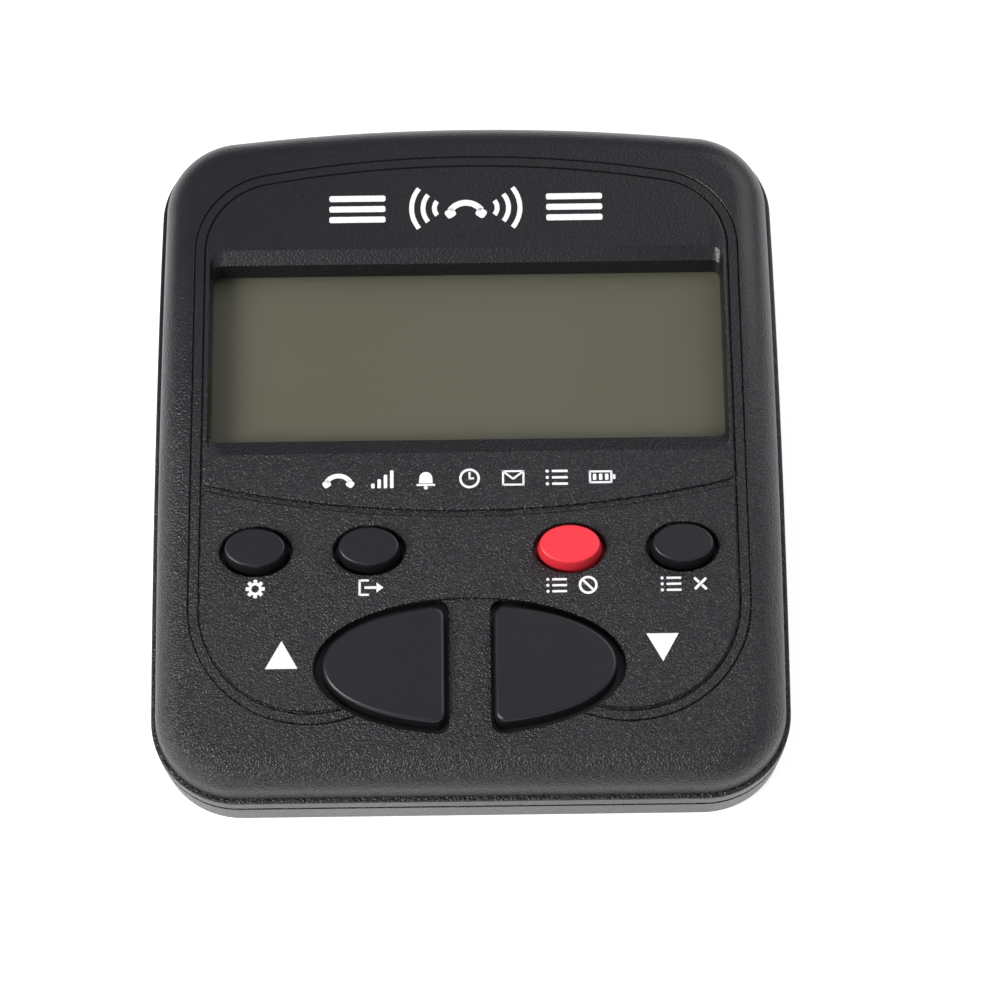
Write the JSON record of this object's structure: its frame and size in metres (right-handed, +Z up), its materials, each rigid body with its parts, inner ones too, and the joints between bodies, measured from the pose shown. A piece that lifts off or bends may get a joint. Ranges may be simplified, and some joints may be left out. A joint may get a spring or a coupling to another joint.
{
  "type": "telephone caller display and call blocker",
  "caption": "Wedge-shaped desk telephone accessory with a wide reflective display, small oval keys, two large scroll keys and modular line sockets at the back.",
  "frame": {"origin": "middle of the case, at the level of the surface that the feet stand on", "axes": "+X to the right seen from the front, +Y to the back with the sockets, +Z up"},
  "size_m": [0.095, 0.1084, 0.0271],
  "materials": {
    "black_abs": "black, fine spark-eroded grain",
    "key_plastic": "black, satin",
    "red_key_plastic": "red, satin",
    "foot_rubber": "dark grey",
    "cell_jacket": "printed foil sleeve",
    "nickel_steel": "nickel plated",
    "red_pvc": "wire sleeve",
    "black_pvc": "wire sleeve",
    "circuit_board": "green solder mask",
    "socket_plastic": "black",
    "gold_wire": "gold plated spring wire",
    "relay_plastic": "off-white",
    "transformer_core": "ferrite",
    "capacitor_sleeve": "dark blue sleeve",
    "ribbon_film": "grey flat jumper",
    "chip_epoxy": "moulded epoxy",
    "contact_film": "amber film",
    "lcd_glass": "olive grey reflective display",
    "clear_acrylic": "clear",
    "silicone_rubber": "translucent grey"
  },
  "bodies": {
    "root": {"lower_case": "black_abs", "rubber_foot_1": "foot_rubber", "rubber_foot_2": "foot_rubber", "rubber_foot_3": "foot_rubber", "rubber_foot_4": "foot_rubber", "battery_1": "cell_jacket", "battery_2": "cell_jacket", "battery_3": "cell_jacket", "battery_springs": "nickel_steel", "battery_plates": "nickel_steel", "battery_lead_red": "red_pvc", "battery_lead_black": "black_pvc", "line_board": "circuit_board", "line_jack": "socket_plastic", "phone_jack": "socket_plastic", "line_contacts": "gold_wire", "phone_contacts": "gold_wire", "line_relay": "relay_plastic", "line_transformer": "transformer_core", "filter_capacitors": "capacitor_sleeve", "board_ribbon": "ribbon_film", "main_board": "circuit_board", "controller_chip": "chip_epoxy", "caller_chip": "chip_epoxy", "crystal": "nickel_steel", "chip_resistors": "chip_epoxy", "display_ribbon": "contact_film", "lcd_glass": "lcd_glass", "lcd_frame": "black_abs", "display_window": "clear_acrylic", "keypad_mat": "silicone_rubber", "set_dome": "silicone_rubber", "out_dome": "silicone_rubber", "block_dome": "silicone_rubber", "remove_dome": "silicone_rubber", "up_dome": "silicone_rubber", "down_dome": "silicone_rubber", "upper_case": "black_abs", "case_screws": "nickel_steel", "board_screws": "nickel_steel", "frame_screws": "nickel_steel"},
    "set_key": {"set_key": "key_plastic"},
    "out_key": {"out_key": "key_plastic"},
    "block_key": {"block_key": "red_key_plastic"},
    "remove_key": {"remove_key": "key_plastic"},
    "up_key": {"up_key": "key_plastic"},
    "down_key": {"down_key": "key_plastic"},
    "battery_door": {"battery_door": "black_abs"}
  },
  "joints": [
    {"name": "set_press", "type": "slide", "parent": "root", "child": "set_key", "axis": [0, -0.0872, 0.9962], "range_m": [-0.0012, 0], "stiffness_N_per_m": 800, "deforming": ["set_dome"]},
    {"name": "out_press", "type": "slide", "parent": "root", "child": "out_key", "axis": [0, -0.0872, 0.9962], "range_m": [-0.0012, 0], "stiffness_N_per_m": 800, "deforming": ["out_dome"]},
    {"name": "block_press", "type": "slide", "parent": "root", "child": "block_key", "axis": [0, -0.0872, 0.9962], "range_m": [-0.0012, 0], "stiffness_N_per_m": 800, "deforming": ["block_dome"]},
    {"name": "remove_press", "type": "slide", "parent": "root", "child": "remove_key", "axis": [0, -0.0872, 0.9962], "range_m": [-0.0012, 0], "stiffness_N_per_m": 800, "deforming": ["remove_dome"]},
    {"name": "up_press", "type": "slide", "parent": "root", "child": "up_key", "axis": [0, -0.0872, 0.9962], "range_m": [-0.0012, 0], "stiffness_N_per_m": 800, "deforming": ["up_dome"]},
    {"name": "down_press", "type": "slide", "parent": "root", "child": "down_key", "axis": [0, -0.0872, 0.9962], "range_m": [-0.0012, 0], "stiffness_N_per_m": 800, "deforming": ["down_dome"]},
    {"name": "door_release", "type": "slide", "parent": "root", "child": "battery_door", "axis": [0, 0, -1], "range_m": [0, 0.02]}
  ]
}
